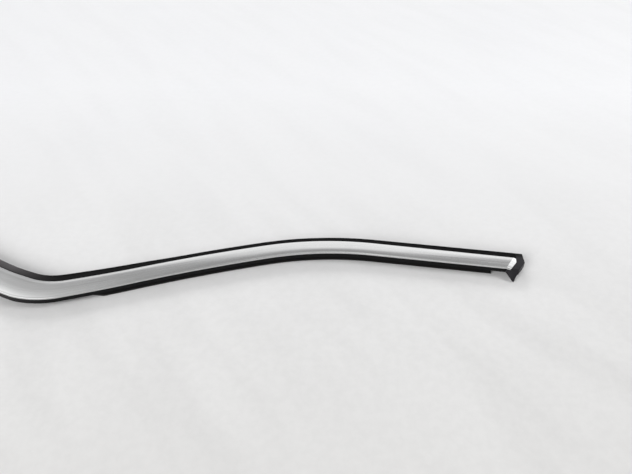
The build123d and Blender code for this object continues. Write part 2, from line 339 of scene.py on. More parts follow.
def vector_calc(tree, operation, *values, scale=None):
    """A Vector Math node on sockets or vectors."""
    node = add_node(tree, "ShaderNodeVectorMath", {"operation": operation})
    for socket, value in zip(node.inputs, values):
        place_value(tree, socket, value)
    if scale is not None:
        place_value(tree, node.inputs["Scale"], scale)
    return node.outputs["Value" if operation == "DOT_PRODUCT" else "Vector"]


def split_vector(tree, vector):
    """The three numbers of a vector."""
    return add_node(tree, "ShaderNodeSeparateXYZ", Vector=vector).outputs


def join_vector(tree, x=0.0, y=0.0, z=0.0):
    """A vector from three numbers."""
    return add_node(tree, "ShaderNodeCombineXYZ", X=x, Y=y, Z=z).outputs[0]


print("node helpers ready")

# %% [markdown]
# ## One node tree for every strip
# Bright cover, rubber and inboard leg are all a section carried along the same line. Curve to
# Mesh does that for plain cases, but it can't slide single points of the first ring on to a
# slanting mitre, nor widen one part of the section. So the tree makes a plain grid, with a
# column for each point of the section and a row for each step along the line. It reads both,
# and sets every point's place itself.

# %% Reading and storing attributes in the tree
of_vectors = {"data_type": "FLOAT_VECTOR"}


def named_vector(tree, name):
    """A vector attribute, read by its name."""
    node = add_node(tree, "GeometryNodeInputNamedAttribute", of_vectors, Name=name)
    return node.outputs["Attribute"]


def at_column(tree, section, value, column):
    """A vector of the section's points, read for a grid point's column."""
    kind = "GeometryNodeSampleIndex"
    node = add_node(tree, kind, of_vectors, Geometry=section, Value=value, Index=column)
    return node.outputs["Value"]


def stored(tree, mesh, name, value, kind, domain="POINT"):
    """The mesh with a value stored under a name."""
    settings = {"data_type": kind, "domain": domain}
    node = add_node(tree, "GeometryNodeStoreNamedAttribute", settings, Geometry=mesh, Name=name)
    place_value(tree, node.inputs["Value"], value)
    return node.outputs[0]


print("attribute helpers ready")

# %% [markdown]
# ## Distances along the line
# Each column has three distances of its own: where it starts, where the end is folded, and
# where it stops. The first rows are spread from the start to the fold, and the others from the
# fold to the rear. A strip without a fold gives the same distance twice.

# %% The tree's distances and the line at a distance
def row_distance(tree, given, row, ends):
    """Distance of each grid point, and how far it is in front of the fold as a minus."""
    first, fold, last = split_vector(tree, ends)
    fold_rows = given["Fold Rows"]
    front_share = calc(tree, "DIVIDE", row, calc(tree, "MAXIMUM", fold_rows, 1.0), clamp=True)
    rear_rows = calc(tree, "SUBTRACT", calc(tree, "SUBTRACT", given["Rows"], fold_rows), 1.0)
    past_fold = calc(tree, "SUBTRACT", row, fold_rows)
    rear_share = calc(tree, "DIVIDE", past_fold, rear_rows, clamp=True)
    to_front = calc(tree, "SUBTRACT", 1.0, front_share)
    front_part = times(tree, calc(tree, "SUBTRACT", first, fold), to_front)
    rear_part = times(tree, calc(tree, "SUBTRACT", last, fold), rear_share)
    return total(tree, fold, front_part, rear_part), front_part


def line_at(tree, given, distance):
    """The line's place, its direction and its three sizes at a distance."""
    info = add_node(tree, "GeometryNodeObjectInfo", Object=given["Spine"])
    curve = add_node(tree, "GeometryNodeMeshToCurve", Mesh=info.outputs["Geometry"])
    settings = {"mode": "LENGTH", **of_vectors}
    line = add_node(tree, "GeometryNodeSampleCurve", settings, Curves=curve.outputs[0])
    place_value(tree, line.inputs["Value"], named_vector(tree, "sizes"))
    place_value(tree, line.inputs["Length"], total(tree, distance, given["Run Out"]))
    return line.outputs["Position"], line.outputs["Tangent"], line.outputs["Value"]


print("distance helpers ready")

# %% [markdown]
# ## The whole tree
# The last part puts each point across the line and up from the cloth, and lowers what lies in
# front of the fold. Then the strip's own map is stored: metres along it and metres round it,
# so that drawn lines can follow the curve. A map lives on the corners of faces, where the Index
# node would count corners instead of points. So the values are stored on the points first, and
# read back by name for the corners.

# %% The sweep tree
merge_within = 0.002 * MM
sweep_inputs = [
    ("Section", "Geometry"), ("Spine", "Object"), ("Rows", "Int"), ("Fold Rows", "Int"),
    ("Fold Drop", "Float"), ("Fold Low Edge", "Float"), ("Run Out", "Float"),
    ("Finish", "Material"),
]


def grid_of_strip(tree, given):
    """A grid with the section's points as columns, and each point's row and column."""
    size = add_node(tree, "GeometryNodeAttributeDomainSize", Geometry=given["Section"])
    columns = size.outputs["Point Count"]
    counts = {"Vertices_X": given["Rows"], "Vertices_Y": columns}
    grid = add_node(tree, "GeometryNodeMeshGrid", Size_X=1.0, Size_Y=1.0, **counts)
    index = tree.nodes.new("GeometryNodeInputIndex").outputs[0]
    row = calc(tree, "FLOOR", calc(tree, "DIVIDE", total(tree, index, 0.5), columns))
    column = calc(tree, "SUBTRACT", index, times(tree, row, columns))
    return grid.outputs["Mesh"], row, column


def height_past_fold(tree, given, up, front_part):
    """The height, lowered in front of the fold but not below its low edge."""
    beyond = calc(tree, "MAXIMUM", times(tree, front_part, -1.0), 0.0)
    dropped = calc(tree, "SUBTRACT", up, times(tree, beyond, given["Fold Drop"]))
    return calc(tree, "MAXIMUM", dropped, calc(tree, "MINIMUM", up, given["Fold Low Edge"]))


def make_sweep_tree():
    """The tree that carries a section along the line."""
    tree = bpy.data.node_groups.new("strip_sweep", "GeometryNodeTree")
    for label, kind in sweep_inputs:
        tree.interface.new_socket(label, in_out="INPUT", socket_type="NodeSocket" + kind)
    tree.interface.new_socket("Strip", in_out="OUTPUT", socket_type="NodeSocketGeometry")
    given = tree.nodes.new("NodeGroupInput").outputs
    grid, row, column = grid_of_strip(tree, given)

    def of_section(value):
        return split_vector(tree, at_column(tree, given["Section"], value, column))

    shift, _, height = of_section(tree.nodes.new("GeometryNodeInputPosition").outputs[0])
    hangs_on, reach_share, depth_share = of_section(named_vector(tree, "weights"))
    around, flock, _ = of_section(named_vector(tree, "marks"))
    ends = at_column(tree, given["Section"], named_vector(tree, "ends"), column)
    distance, front_part = row_distance(tree, given, row, ends)
    line_place, tangent, sizes = line_at(tree, given, distance)
    half, reach, depth = split_vector(tree, sizes)

    across = total(tree, times(tree, hangs_on, half), shift, times(tree, reach_share, reach))
    up = total(tree, height, times(tree, depth_share, depth))
    up = height_past_fold(tree, given, up, front_part)
    to_glass = vector_calc(tree, "CROSS_PRODUCT", tangent, (0, 0, 1))
    to_glass = vector_calc(tree, "NORMALIZE", to_glass)
    point = vector_calc(tree, "ADD", line_place, vector_calc(tree, "SCALE", to_glass, scale=across))
    point = vector_calc(tree, "ADD", point, join_vector(tree, z=up))

    strip = add_node(tree, "GeometryNodeSetPosition", Geometry=grid, Position=point).outputs[0]
    strip = stored(tree, strip, "place", join_vector(tree, distance, around), "FLOAT_VECTOR")
    strip = stored(tree, strip, "strip", named_vector(tree, "place"), "FLOAT2", "CORNER")
    strip = stored(tree, strip, "flock", flock, "FLOAT")
    kind = "GeometryNodeMergeByDistance"
    strip = add_node(tree, kind, Geometry=strip, Distance=merge_within).outputs[0]
    strip = add_node(tree, "GeometryNodeRealizeInstances", Geometry=strip).outputs[0]
    finish = given["Finish"]
    strip = add_node(tree, "GeometryNodeSetMaterial", Geometry=strip, Material=finish).outputs[0]
    add_node(tree, "NodeGroupOutput", Strip=strip)
    return tree


sweep_tree = make_sweep_tree()
print("the sweep tree has", len(sweep_tree.nodes), "nodes")

# %% [markdown]
# ## Plain meshes
# The export drops live modifiers, so what they make is turned into a plain mesh at once. The
# mesh is then mended by bmesh, which is Blender's edit mode for scripts. True corners stay
# sharp, while the small arcs are shaded smooth.

# %% Helpers for objects and meshes
def put_in_scene(name, data):
    """A new object in the scene."""
    thing = bpy.data.objects.new(name, data)
    bpy.context.collection.objects.link(thing)
    return thing


def plain_mesh(maker):
    """The mesh that an object's modifiers make. The object itself goes."""
    graph = bpy.context.evaluated_depsgraph_get()
    mesh = bpy.data.meshes.new_from_object(maker.evaluated_get(graph))
    bpy.data.objects.remove(maker)
    return mesh


def edited(mesh, operation):
    """Opens a mesh for editing, runs an operation on it and closes it again."""
    work = bmesh.new()
    work.from_mesh(mesh)
    operation(work)
    work.to_mesh(mesh)
    work.free()


def name_and_smooth(mesh, name, sharp_from):
    """Names a mesh and shades it smooth, but not over corners sharper than an angle."""
    mesh.polygons.foreach_set("use_smooth", [True] * len(mesh.polygons))
    mesh.set_sharp_from_angle(angle=math.radians(sharp_from))
    mesh.name = name
    print(name, len(mesh.polygons), "faces")


print("mesh helpers ready")

# %% [markdown]
# ## From a section to a finished piece
# The tree runs as a modifier, whose inputs are set by their sockets' identifiers. A sweep is an
# open tube, so both ends are filled. A finished mesh then takes the place of its CAD node.

# %% Running the tree
strip_sharp_from = 17


def close_ends(work):
    """Fills the open ends and points the faces outwards."""
    edges = [e for e in work.edges if e.is_boundary]
    caps = bmesh.ops.holes_fill(work, edges=edges, sides=0)["faces"]
    bmesh.ops.triangulate(work, faces=caps)
    bmesh.ops.recalc_face_normals(work, faces=work.faces)


def sweep(name, section, finish, rows, fold_rows=0, fold_drop=0.0, fold_low_edge=0.0):
    """Runs the tree on one section and returns the closed mesh."""
    maker = put_in_scene(name + "_maker", section)
    modifier = maker.modifiers.new("strip_sweep", "NODES")
    modifier.node_group = sweep_tree
    values = {
        "Spine": spine, "Rows": rows, "Fold Rows": fold_rows, "Fold Drop": fold_drop,
        "Fold Low Edge": fold_low_edge * MM, "Run Out": run_out * MM, "Finish": finish,
    }
    for item in sweep_tree.interface.items_tree:
        if item.in_out == "INPUT" and item.name in values:
            modifier[item.identifier] = values[item.name]
    mesh = plain_mesh(maker)
    edited(mesh, close_ends)
    name_and_smooth(mesh, name, strip_sharp_from)
    return mesh


def add_piece(name, mesh, node):
    """Puts a finished mesh in the scene in place of its CAD node."""
    piece = put_in_scene(name, mesh)
    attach(piece, "root")
    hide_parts(node)


print("strips can be made")

# %% [markdown]
# ## Effects shared by the finishes
# Three effects show on more than one finish: fine lines along the strip, left by the rolls and
# by the die, a fine grain, and dust with rubbed patches. Each could be copied into every
# material. As node groups they are built once, and each material sets its own scale.
# Only masks leave a group. The shader itself stays in the material, where it can be exported.

# %% Helpers for the shared effects
def make_group(name, inputs, outputs):
    """An empty shader group. Returns its tree, what it is given and its results."""
    tree = bpy.data.node_groups.new(name, "ShaderNodeTree")
    for label, kind, value in inputs:
        socket = tree.interface.new_socket(label, in_out="INPUT", socket_type="NodeSocket" + kind)
        if value is not None:
            socket.default_value = value
    for label in outputs:
        tree.interface.new_socket(label, in_out="OUTPUT", socket_type="NodeSocketFloat")
    given = tree.nodes.new("NodeGroupInput").outputs
    results = tree.nodes.new("NodeGroupOutput").inputs
    return tree, given, results


def noise(tree, vector, scale=1.0, detail=2.0, roughness=0.5):
    """Noise from 0 to 1 at a place."""
    look = {"Scale": scale, "Detail": detail, "Roughness": roughness}
    return add_node(tree, "ShaderNodeTexNoise", Vector=vector, **look).outputs[0]


def spread(tree, value, low, high, to_low=0.0, to_high=1.0):
    """Stretches a value between two limits, and stops at them."""
    node = tree.nodes.new("ShaderNodeMapRange")
    for socket, number in zip(node.inputs, (value, low, high, to_low, to_high)):
        place_value(tree, socket, number)
    return node.outputs[0]


print("effect helpers ready")

# %% [markdown]
# ## Drawn lines, grain and dust
# Drawn lines are noise that is pulled long: many steps for each metre across the strip, and few
# along it. The grain is small cells with rough noise over them. Dust is rare specks inside
# faint patches, so it never covers a piece evenly.

# %% The three effects
def make_drawn_lines():
    """Lines along the strip, fine and wide. They need the strip's own map."""
    scales = [("Per Metre Across", "Float", 1000.0), ("Per Metre Along", "Float", 8.0)]
    inputs = [("Strip", "Vector", None), *scales]
    tree, given, results = make_group("drawn_lines", inputs, ("Lines", "Streaks"))
    along, across, _ = split_vector(tree, given["Strip"])
    along = times(tree, along, given["Per Metre Along"])
    across = times(tree, across, given["Per Metre Across"])
    lines = noise(tree, join_vector(tree, along, across), detail=3.0, roughness=0.6)
    place_value(tree, results["Lines"], spread(tree, lines, 0.32, 0.68))
    wide = join_vector(tree, times(tree, along, 0.6), times(tree, across, 0.16), 7.3)
    place_value(tree, results["Streaks"], spread(tree, noise(tree, wide), 0.34, 0.66))
    return tree


def make_fine_grain():
    """Grain of moulded plastic and of rubber: a height for bump and a slow change of tone."""
    inputs = [("Position", "Vector", None), ("Grains Per Metre", "Float", 2500.0)]
    tree, given, results = make_group("fine_grain", inputs, ("Height", "Tone"))
    position, grains = given["Position"], given["Grains Per Metre"]
    cells = add_node(tree, "ShaderNodeTexVoronoi", Vector=position, Scale=grains)
    cells = times(tree, cells.outputs["Distance"], 0.6)
    rough = noise(tree, position, scale=grains, detail=3.0, roughness=0.6)
    place_value(tree, results["Height"], total(tree, cells, times(tree, rough, 0.5)))
    tone = noise(tree, position, scale=70.0, detail=3.0)
    place_value(tree, results["Tone"], spread(tree, tone, 0.3, 0.7))
    return tree


def make_dust_and_rub():
    """Dust in faint patches, and rubbed patches where hands and cloth passed."""
    inputs = [("Position", "Vector", None), ("Dust", "Float", 0.5), ("Rub", "Float", 0.5)]
    tree, given, results = make_group("dust_and_rub", inputs, ("Dust Mask", "Rub Mask"))
    position = given["Position"]
    specks = spread(tree, noise(tree, position, scale=1400.0), 0.62, 0.74)
    patches = spread(tree, noise(tree, position, scale=26.0, detail=3.0), 0.4, 0.65)
    dust = times(tree, times(tree, specks, patches), given["Dust"])
    place_value(tree, results["Dust Mask"], dust)
    rubbed = noise(tree, position, scale=38.0, detail=4.0, roughness=0.62)
    rubbed = times(tree, spread(tree, rubbed, 0.42, 0.7), given["Rub"])
    place_value(tree, results["Rub Mask"], rubbed)
    return tree


drawn_lines = make_drawn_lines()
fine_grain = make_fine_grain()
dust_and_rub = make_dust_and_rub()
print("shared effects:", drawn_lines.name, fine_grain.name, dust_and_rub.name)

# %% [markdown]
# ## Helpers for materials
# Every finish here starts in the same way: a new material, its shader, and the values that are
# the same all over it. What changes over the surface is then linked in. Patterns read the
# strip's own map where they follow the curve, and the object's coordinates where they don't.

# %% Helpers for materials
def new_finish(name, **fixed):
    """A material with its shader, and the values that are the same all over it."""
    finish = bpy.data.materials.new(name)
    finish.use_nodes = True
    shader = finish.node_tree.nodes["Principled BSDF"]
    for label, value in fixed.items():
        shader.inputs[label.replace("_", " ")].default_value = value
    return finish, finish.node_tree, shader.inputs


def use_group(tree, group, **inputs):
    """Places a shared effect in a material."""
    return add_node(tree, "ShaderNodeGroup", {"node_tree": group}, **inputs).outputs


def blend_colour(tree, share, first, second):
    """Mixes two colours, each a socket or three numbers."""
    node = add_node(tree, "ShaderNodeMix", {"data_type": "RGBA"}, Factor=share)
    # A Mix node keeps its two colours at sockets 6 and 7, and the mixed one at 2
    for socket, value in ((node.inputs[6], first), (node.inputs[7], second)):
        place_value(tree, socket, (*value, 1) if isinstance(value, tuple) else value)
    return node.outputs[2]


def raised(tree, height, strength, distance):
    """Bump from a height. The distance is how high it stands, in metres."""
    stands = {"Strength": strength, "Distance": distance}
    return add_node(tree, "ShaderNodeBump", Height=height, **stands).outputs[0]


def strip_map(tree):
    """The strip's own map: metres along it, and metres round its section."""
    return add_node(tree, "ShaderNodeUVMap", {"uv_map": "strip"}).outputs[0]


def own_place(tree):
    """Object coordinates, which are metres in the frame."""
    return tree.nodes.new("ShaderNodeTexCoord").outputs["Object"]


print("material helpers ready")

# %% [markdown]
# ## Satin bright metal
# The face is satin, not mirror: it shows the room as soft bands of light and grey, with fine
# lines drawn along it. A metallic shader with low roughness gives the bands. A photograph of
# brushed metal could be laid over it, but its lines wouldn't follow the curve. So drawn lines
# on the strip's own map change the roughness and the tone a little, and stand up as faint bump.

# %% Satin bright metal
satin, tree, sockets = new_finish("satin_bright", Metallic=1.0)
scales = {"Per_Metre_Across": 2400.0, "Per_Metre_Along": 9.0}
lines = use_group(tree, drawn_lines, Strip=strip_map(tree), **scales)
wear = use_group(tree, dust_and_rub, Position=own_place(tree), Dust=0.12, Rub=0.6)
tone = total(tree, times(tree, lines["Lines"], 0.5), times(tree, lines["Streaks"], 0.5))
metal = blend_colour(tree, tone, (0.562, 0.565, 0.565), (0.66, 0.664, 0.664))
metal = blend_colour(tree, wear["Dust Mask"], metal, (0.55, 0.54, 0.52))
place_value(tree, sockets["Base Color"], metal)
smoothest = 0.16
rubbed = times(tree, wear["Rub Mask"], 0.06)
rough = total(tree, times(tree, tone, 0.1), rubbed, smoothest)
place_value(tree, sockets["Roughness"], rough)
place_value(tree, sockets["Normal"], raised(tree, tone, 0.05, 0.04 * MM))
print("satin bright:", len(tree.nodes), "nodes")

# %% [markdown]
# ## Black rubber
# Extruded rubber is a deep, dull black with faint die lines along it. Plain black would look cut
# out of the picture, so four things break it: the short fibres of flock on the wiper lip, which
# swallow light, a painted sheen that makes the wiper lip greyer from the kink on, a painted fill
# light that lifts the shade on the lowest edge that lies on the cloth, and dust. The section says
# where the flock is, and the strip's map says where the painted sheen starts.

# %% Black rubber
rubber, tree, sockets = new_finish("black_rubber", Specular_IOR_Level=0.055)
scales = {"Per_Metre_Across": 1500.0, "Per_Metre_Along": 14.0}
lines = use_group(tree, drawn_lines, Strip=strip_map(tree), **scales)
grain = use_group(tree, fine_grain, Position=own_place(tree), Grains_Per_Metre=4200.0)
wear = use_group(tree, dust_and_rub, Position=own_place(tree), Dust=0.15)
flock = add_node(tree, "ShaderNodeAttribute", {"attribute_name": "flock"}).outputs["Fac"]
black = blend_colour(tree, lines["Lines"], (0.006, 0.006, 0.0063), (0.0095, 0.0095, 0.0098))
fibres = blend_colour(tree, grain["Height"], (0.002, 0.002, 0.0022), (0.006, 0.0058, 0.006))
black = blend_colour(tree, flock, black, fibres)

# Painted sheen: from the kink on, the wiper lip is painted greyer, where it catches the light from
# the left.
sheen_start, sheen_full = 0.5, 0.585  # metres along the strip
rearwards = spread(tree, split_vector(tree, strip_map(tree))[0], sheen_start, sheen_full)
on_flock = spread(tree, flock, 0.0, 1.0, 0.4, 1.0)
painted_sheen = times(tree, calc(tree, "POWER", rearwards, 2.0), on_flock)
black = blend_colour(tree, painted_sheen, black, (0.1, 0.095, 0.098))

# Painted fill light: the lowest few millimetres, which lie in shade on the cloth, are painted
# lighter.
fill_low, fill_high = 1.0 * MM, 3.5 * MM
painted_fill = spread(tree, split_vector(tree, own_place(tree))[2], fill_low, fill_high, 1.0, 0.0)
black = blend_colour(tree, painted_fill, black, (0.03, 0.0295, 0.029))
black = blend_colour(tree, wear["Dust Mask"], black, (0.09, 0.088, 0.085))
place_value(tree, sockets["Base Color"], black)

rough = total(tree, times(tree, lines["Streaks"], 0.12), times(tree, flock, 0.25))
place_value(tree, sockets["Roughness"], calc(tree, "ADD", rough, 0.52, clamp=True))
height = total(tree, times(tree, lines["Lines"], 0.5), times(tree, grain["Height"], 0.5))
place_value(tree, sockets["Normal"], raised(tree, height, 0.35, 0.06 * MM))
print("black rubber:", len(tree.nodes), "nodes")

# %% [markdown]
# ## Dark plastic
# The caps are moulded with a fine spark-eroded grain, dark grey beside the black rubber.
# Rubbing leaves them slightly smoother and paler. The front cap's arm beside the wiper lip is
# as black as the lip. That could be a second material on a few faces, but one soft mask on the
# object's coordinates does it.

# %% Dark plastic
plastic, tree, sockets = new_finish("dark_plastic", Specular_IOR_Level=0.12)
grain = use_group(tree, fine_grain, Position=own_place(tree), Grains_Per_Metre=2600.0)
wear = use_group(tree, dust_and_rub, Position=own_place(tree), Dust=0.3, Rub=0.8)
grey = blend_colour(tree, grain["Tone"], (0.013, 0.0125, 0.0142), (0.019, 0.0182, 0.0205))
grey = blend_colour(tree, wear["Rub Mask"], grey, (0.027, 0.026, 0.029))
from_rear, from_panel, _ = split_vector(tree, own_place(tree))
glass_arm = spread(tree, from_panel, 3.0 * MM, 6.5 * MM)
front_only = spread(tree, from_rear, 300.0 * MM, 310.0 * MM)
grey = blend_colour(tree, times(tree, glass_arm, front_only), grey, (0.003, 0.003, 0.0032))
grey = blend_colour(tree, wear["Dust Mask"], grey, (0.12, 0.118, 0.115))
place_value(tree, sockets["Base Color"], grey)
rubbed = times(tree, wear["Rub Mask"], 0.12)
rough = calc(tree, "SUBTRACT", times(tree, grain["Tone"], 0.1), rubbed)
place_value(tree, sockets["Roughness"], total(tree, rough, 0.5))
place_value(tree, sockets["Normal"], raised(tree, grain["Height"], 0.4, 0.08 * MM))
print("dark plastic:", len(tree.nodes), "nodes")

# %% [markdown]
# ## How the front end is cut
# The cover's front end is folded down a little along a slanting line, and cut off along a
# steeper one. The strip between the two is the small bright facet beside the cap. A Boolean
# could cut a square end to shape. Here each column of the sweep simply starts and folds at its
# own distance, so the facet's edges are clean rows of the mesh.

# %% Rules for the front end
mitre_turn = math.radians(30)
fold_turn = math.radians(27)
across_front = math.tan(mitre_turn) * front_width / 2
corner_distance = across_front + 0.9  # of the cover's panel side corner behind the line's zero
square_cut = 6.6  # beyond this reach the end is cut square
fold_length = 5.1
cap_gap = 0.25


def mitre_row(across):
    """Distance at which the cover starts."""
    return corner_distance - min(across * math.tan(mitre_turn), square_cut)


def fold_row(across):
    """Distance at which the cover is folded."""
    return corner_distance + fold_length - across * math.tan(fold_turn)


def rear_row(across):
    """Distance at which the strip ends."""
    return spine_length


print("the front corner is", round(corner_distance, 2), "mm behind the line's zero")

# %% [markdown]
# ## Bright cover
# A thin strip of satin metal, rolled over at both edges and crimped under the rubber's tongue.
# A plane with a Solidify modifier would do for the face, but not for the rolls and the crimp.
# The section goes once round the sheet: the outside first, then back along the inside.

# %% Bright cover
roll_radius = 1.5
crimp_radius = 0.4
cover_corners = [
    corner(-1, crimp, near_low),
    corner(-1, 0, near_low, radius=crimp_radius),
    corner(-1, 0, near_top, radius=roll_radius),
    *crown_points(0, roll, 16),
    corner(1, 0, far_top, radius=roll_radius),
    corner(1, 0, far_low, radius=crimp_radius),
    corner(1, -crimp, far_low),
    corner(1, -crimp, far_low + gauge),
    corner(1, -gauge, far_low + gauge),
    corner(1, -gauge, far_side),
    *reversed(crown_points(gauge, roll, 8)),
    corner(-1, gauge, near_side),
    corner(-1, gauge, near_low + gauge),
    corner(-1, crimp, near_low + gauge),
]
rules = (mitre_row, fold_row, rear_row)
cover_section = section_mesh("cover_section", rounded(cover_corners), *rules)
fold = {"fold_rows": 5, "fold_drop": 0.4, "fold_low_edge": 11.2}
cover_mesh = sweep("bright_cover_strip", cover_section, satin, rows=280, **fold)
add_piece("bright_cover_strip", cover_mesh, "bright_cover")

# %% [markdown]
# ## Rubber channel
# One extrusion of black rubber: the tongue that the cover grips, the wiper lip towards the
# glass, the back wall, two gripping fingers and the short lip over the panel. It could be built
# from separate lips and walls, but a real extrusion has no seams between them, so it is one
# section. It starts behind the fold, where the cap takes over, and only the wiper lip runs on.

# %% Rubber channel
lip_root = front_width + 0.4
groove = 2.4  # between the bright edge and the lip
nose_high, nose_low = lip_top - lip_thick * 0.3, lip_top - lip_thick * 0.7
wall_side, wall_inside = -1.0, -3.4
finger = [(1.2, roof), (2.3, finger_low), (1.4, finger_low), (0.0, roof)]
finger_pitch = 4.4
finger_radius = 0.2


def seal_front_row(across):
    """Distance at which the rubber starts."""
    if across > lip_root:
        return corner_distance - square_cut
    return fold_row(across) + cap_gap / math.cos(fold_turn)


seal_corners = [
    # Tongue and hook under the glass side of the cover
    *crown_points(under_cover, roll, 6),
    corner(1, -under_cover, far_side),
    corner(1, -under_cover, far_low + under_cover),
    corner(1, -hook, far_low + under_cover),
    corner(1, -hook, far_low - 0.1),
    # Wiper lip
    corner(1, 0.4, far_low - 0.1, radius=0.2),
    corner(1, 0.8, lip_top - 0.6, radius=0.4),
    corner(1, groove, lip_top, radius=0.8, flock=0.4),
    corner(1, -0.8, lip_top, reach=1, radius=0.6, flock=1),
    corner(1, 0, nose_high, reach=1, radius=0.4, flock=0.6),
    corner(1, -0.2, nose_low, reach=1, radius=0.3),
    corner(1, 3.0, lip_top - lip_thick, radius=1.0),
    # Back wall
    corner(1, wall_side, roof, radius=0.6),
    corner(1, wall_side, 0, radius=0.6),
    corner(1, wall_inside, 0),
    corner(1, wall_inside, roof, radius=0.4),
    # Two fingers under the roof
    *[corner(0, x, height, radius=finger_radius) for x, height in finger],
    *[corner(0, x - finger_pitch, height, radius=finger_radius) for x, height in finger],
    # Short lip over the panel
    corner(-1, 1.7, roof, radius=0.4),
    corner(-1, 1.7, 0.6, depth=1, radius=0.3),
    corner(-1, 1.3, 0, depth=1, radius=0.2),
    corner(-1, 0.5, 0, depth=1, radius=0.2),
    corner(-1, 0.2, 0.4, depth=1, radius=0.2),
    # Hook and tongue under the panel side of the cover
    corner(-1, 0.2, near_low - 0.1, radius=0.15),
    corner(-1, hook, near_low - 0.1),
    corner(-1, hook, near_low + under_cover),
    corner(-1, under_cover, near_low + under_cover),
    corner(-1, under_cover, near_side),
]
rules = (seal_front_row, seal_front_row, rear_row)
seal_section = section_mesh("seal_section", rounded(seal_corners), *rules)
seal_mesh = sweep("rubber_channel", seal_section, rubber, rows=260)

# %% [markdown]
# ## Where the inboard leg ends
# The channel's inboard leg lies on the cloth. In front it stops square, a little behind the
# cap, and before the kink it is cut off on a long slant. The slant is one straight cut across a
# bent strip, so each column looks for its own distance at which it crosses the cut, by halving
# the span until it is small.

# %% Rules for the inboard leg
leg_length = 437.3
leg_start = corner_distance + 20.2
leg_end = leg_start + leg_length
leg_slant_length = 50.0
leg_turn = math.radians(70)
leg_setback = 1.2  # the leg's free edge inside the face's panel side
halvings = 30


def leg_front_row(across):
    """Distance at which the leg starts."""
    return leg_start


def line_and_side(distance):
    """Place of the line at a distance, its direction there and the one to the glass."""
    here = Vector(spine_point(distance))
    ahead = Vector(spine_point(distance + 1)) - here
    return here, ahead, Vector((ahead.y, -ahead.x))


def leg_rear_row(across):
    """Distance at which the slanting cut crosses the column at a place across."""
    here, ahead, to_glass = line_and_side(leg_end)
    cut_start = here + to_glass * (leg_setback - graded(face_widths, belt_end) / 2)
    cut_normal = (ahead * math.cos(leg_turn) - to_glass * math.sin(leg_turn)).normalized()
    low, high = leg_end - 5, leg_end + leg_slant_length
    for _ in range(halvings):
        middle = (low + high) / 2
        half = graded(face_widths, middle) / 2
        offset = across - half if across < front_width / 2 else half - (front_width - across)
        here, _, to_glass = line_and_side(middle)
        if (here + to_glass * offset - cut_start).dot(cut_normal) > 0:
            high = middle
        else:
            low = middle
    return low


print("the leg runs from", round(leg_start, 1), "to about", round(leg_end, 1), "mm")

# %% [markdown]
# ## Inboard leg and the whole rubber profile
# The leg is a flat strip with a bevelled free edge. It is part of the same extrusion, but its
# ends are cut in another way, so it is swept by itself. Its glass side lies inside the back
# wall, and both meshes are then one piece.

# %% Inboard leg
leg_thick = 2.0
leg_bevel = 1.6
inside_wall = -2.2
leg_corners = [
    corner(1, inside_wall, 0),
    corner(1, inside_wall, leg_thick),
    corner(-1, leg_setback, leg_thick, radius=0.4),
    corner(-1, leg_setback + leg_bevel, 0, radius=0.3),
]
rules = (leg_front_row, leg_front_row, leg_rear_row)
leg_section = section_mesh("leg_section", rounded(leg_corners), *rules)
leg_mesh = sweep("inboard_leg", leg_section, rubber, rows=200)

edited(seal_mesh, lambda work: work.from_mesh(leg_mesh))
seal_mesh.name = "rubber_profile"
add_piece("rubber_profile", seal_mesh, "seal_profile")
print("rubber profile", len(seal_mesh.polygons), "faces")

# %% [markdown]
# ## End caps
# Each cap is one moulding. The CAD solids already have the right form, but their edges are
# those of a drawing. Modelling them again would only risk a different shape. So a copy of each
# mesh is merged, its flat faces are made whole again, and a small bevel breaks every outer
# corner, as the mould does.

# %% End caps
cad_weld, sliver = 0.005 * MM, 0.003 * MM
flat_within = math.radians(1)
bevel_from = math.radians(40)
cap_sharp_from = 32


def whole_faces(work):
    """Merges a CAD mesh's loose triangles and makes its flat faces whole."""
    bmesh.ops.remove_doubles(work, verts=work.verts, dist=cad_weld)
    bmesh.ops.dissolve_limit(work, angle_limit=flat_within, verts=work.verts, edges=work.edges)
    bmesh.ops.recalc_face_normals(work, faces=work.faces)


def no_slivers(work):
    """Merges away the slivers that bevels leave where they meet."""
    bmesh.ops.remove_doubles(work, verts=work.verts, dist=sliver)
    bmesh.ops.dissolve_degenerate(work, edges=work.edges, dist=sliver)


def moulded_copy(name, node, finish, edge_break):
    """A copy of a CAD node with its corners broken by a bevel, in millimetres."""
    mesh = nodes[node].data.copy()
    edited(mesh, whole_faces)
    mesh.materials.clear()
    mesh.materials.append(finish)
    maker = put_in_scene(name + "_maker", mesh)
    bevel = maker.modifiers.new("edge_break", "BEVEL")
    bevel.width = edge_break * MM
    bevel.segments = 2
    bevel.limit_method = "ANGLE"
    bevel.angle_limit = bevel_from
    bevel.use_clamp_overlap = True
    finished = plain_mesh(maker)
    edited(finished, no_slivers)
    name_and_smooth(finished, name, cap_sharp_from)
    add_piece(name, finished, node)


moulded_copy("chevron_cap", "front_end_cap", plastic, 0.15)
moulded_copy("rear_cap", "rear_end_cap", plastic, 0.3)

# %% [markdown]
# ## Pale cloth
# The moulding lies on a plain pale cloth, a touch cooler far away and warmer near by. Its colour is
# also painted darker near by and paler far away, as painted light falloff. It isn't pulled tight:
# broad folds, slanting creases and a fine mottle show, more of them near by. The light and shade
# of the folds and the shade in the creases are painted into the colour. A cloth simulation would
# give real folds, but these are fainter than a shade of grey, so a flat plane and a few layers of
# noise are enough.

# %% Pale cloth
cloth_size = 8
cloth_below = 0.3 * MM  # keeps the cloth clear of the moulding's lowest faces
bpy.ops.mesh.primitive_plane_add(size=cloth_size, location=(0, 0, -cloth_below))
floor = bpy.context.object
floor.name = "floor"
cloth, tree, sockets = new_finish("pale_cloth", Roughness=0.95, Specular_IOR_Level=0.1)
where = own_place(tree)
depth = spread(tree, split_vector(tree, where)[1], -0.25, 0.45)
